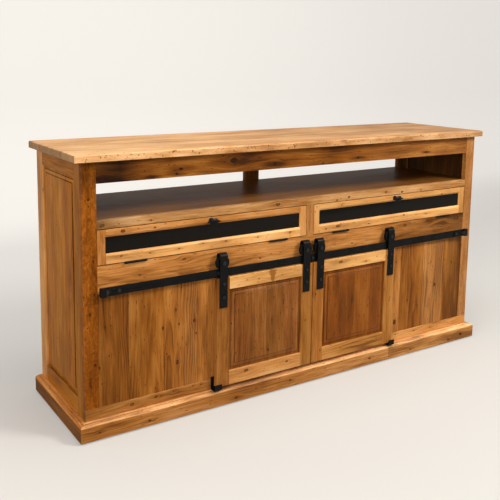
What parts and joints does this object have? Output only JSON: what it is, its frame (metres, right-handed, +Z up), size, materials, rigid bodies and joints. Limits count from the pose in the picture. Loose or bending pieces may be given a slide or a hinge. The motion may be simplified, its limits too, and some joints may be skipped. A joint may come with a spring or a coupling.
{
  "type": "media console",
  "caption": "Long wooden media console with sliding panelled doors on an iron track, drop-down glass flaps on stays and an open bay under the top.",
  "frame": {"origin": "on the floor, under the middle of the whole object's box", "axes": "+X to the right along the length, -Y to the front, +Z up"},
  "size_m": [1.829, 0.4716, 0.927],
  "materials": {
    "top_wood": "satin",
    "honey_wood": "satin",
    "brown_wood": "satin",
    "inner_wood": "satin",
    "black_iron": "satin",
    "black_rubber": "matte",
    "flap_glass": "gloss"
  },
  "bodies": {
    "root": {"top_board": "top_wood", "side_frames": "brown_wood", "side_panels": "brown_wood", "face_stiles": "honey_wood", "apron_rail": "honey_wood", "mullion": "honey_wood", "track_rail": "honey_wood", "bottom_rail": "honey_wood", "inner_stiles": "honey_wood", "fixed_panels": "brown_wood", "open_shelf": "inner_wood", "shelf_nosing": "honey_wood", "media_deck": "inner_wood", "media_divider": "inner_wood", "packing_blocks": "inner_wood", "bottom_board": "inner_wood", "divider_frames": "inner_wood", "centre_shelf": "inner_wood", "shelf_pins": "black_iron", "back_panel": "inner_wood", "rear_frame": "inner_wood", "base_front_moulding": "honey_wood", "base_side_mouldings": "honey_wood", "glides": "black_rubber", "track_bar": "black_iron", "track_spacers": "black_iron", "fixing_bolts": "black_iron", "end_stops": "black_iron", "stop_bumpers": "black_rubber", "door_guides": "black_iron", "catches": "black_rubber", "stay_plates": "black_iron", "fixed_hinge_leaves": "black_iron", "hinge_pins": "black_iron"},
    "left_door": {"left_door_frame": "honey_wood", "left_door_panel": "brown_wood", "left_hangers": "black_iron", "left_hanger_bolts": "black_iron"},
    "left_outer_roller": {"left_outer_roller": "black_iron"},
    "left_inner_roller": {"left_inner_roller": "black_iron"},
    "left_flap": {"left_flap_frame": "honey_wood", "left_flap_glass": "flap_glass", "left_flap_knob": "black_iron", "left_flap_fittings": "black_iron"},
    "left_stay_rod": {"left_stay_rod": "black_iron"},
    "left_stay_keeper": {"left_stay_keeper": "black_iron"},
    "right_door": {"right_door_frame": "honey_wood", "right_door_panel": "brown_wood", "right_hangers": "black_iron", "right_hanger_bolts": "black_iron"},
    "right_outer_roller": {"right_outer_roller": "black_iron"},
    "right_inner_roller": {"right_inner_roller": "black_iron"},
    "right_flap": {"right_flap_frame": "honey_wood", "right_flap_glass": "flap_glass", "right_flap_knob": "black_iron", "right_flap_fittings": "black_iron"},
    "right_stay_rod": {"right_stay_rod": "black_iron"},
    "right_stay_keeper": {"right_stay_keeper": "black_iron"}
  },
  "joints": [
    {"name": "left_door_slide", "type": "slide", "parent": "root", "child": "left_door", "axis": [-1, 0, 0], "range_m": [0, 0.4085]},
    {"name": "left_outer_roller_turn", "type": "hinge", "parent": "left_door", "child": "left_outer_roller", "pos_m": [-0.392, -0.21875, 0.52315], "axis": [0, 1, 0], "continuous": true},
    {"name": "left_inner_roller_turn", "type": "hinge", "parent": "left_door", "child": "left_inner_roller", "pos_m": [-0.033, -0.21875, 0.52315], "axis": [0, 1, 0], "continuous": true},
    {"name": "left_flap_hinge", "type": "hinge", "parent": "root", "child": "left_flap", "pos_m": [-0.42825, -0.20665, 0.5696], "axis": [1, 0, 0], "range_deg": [0, 90]},
    {"name": "left_stay_rod_swing", "type": "hinge", "parent": "left_flap", "child": "left_stay_rod", "pos_m": [-0.829, -0.17565, 0.66992], "axis": [1, 0, 0], "range_deg": [-45, 0]},
    {"name": "left_stay_keeper_swing", "type": "hinge", "parent": "root", "child": "left_stay_keeper", "pos_m": [-0.829, -0.15415, 0.66053], "axis": [1, 0, 0], "range_deg": [0, 45]},
    {"name": "right_door_slide", "type": "slide", "parent": "root", "child": "right_door", "axis": [1, 0, 0], "range_m": [0, 0.4085]},
    {"name": "right_outer_roller_turn", "type": "hinge", "parent": "right_door", "child": "right_outer_roller", "pos_m": [0.392, -0.21875, 0.52315], "axis": [0, 1, 0], "continuous": true},
    {"name": "right_inner_roller_turn", "type": "hinge", "parent": "right_door", "child": "right_inner_roller", "pos_m": [0.033, -0.21875, 0.52315], "axis": [0, 1, 0], "continuous": true},
    {"name": "right_flap_hinge", "type": "hinge", "parent": "root", "child": "right_flap", "pos_m": [0.42825, -0.20665, 0.5696], "axis": [1, 0, 0], "range_deg": [0, 90]},
    {"name": "right_stay_rod_swing", "type": "hinge", "parent": "right_flap", "child": "right_stay_rod", "pos_m": [0.829, -0.17565, 0.66992], "axis": [1, 0, 0], "range_deg": [-45, 0]},
    {"name": "right_stay_keeper_swing", "type": "hinge", "parent": "root", "child": "right_stay_keeper", "pos_m": [0.829, -0.15415, 0.66053], "axis": [1, 0, 0], "range_deg": [0, 45]}
  ],
  "couplings": [
    {"joint": "left_outer_roller_turn", "follows": "left_door_slide", "rad_per_m": -46.512},
    {"joint": "left_inner_roller_turn", "follows": "left_door_slide", "rad_per_m": -46.512},
    {"joint": "left_stay_rod_swing", "follows": "left_flap_hinge", "ratio": -0.5},
    {"joint": "left_stay_keeper_swing", "follows": "left_flap_hinge", "ratio": 0.5},
    {"joint": "right_outer_roller_turn", "follows": "right_door_slide", "rad_per_m": 46.512},
    {"joint": "right_inner_roller_turn", "follows": "right_door_slide", "rad_per_m": 46.512},
    {"joint": "right_stay_rod_swing", "follows": "right_flap_hinge", "ratio": -0.5},
    {"joint": "right_stay_keeper_swing", "follows": "right_flap_hinge", "ratio": 0.5}
  ]
}
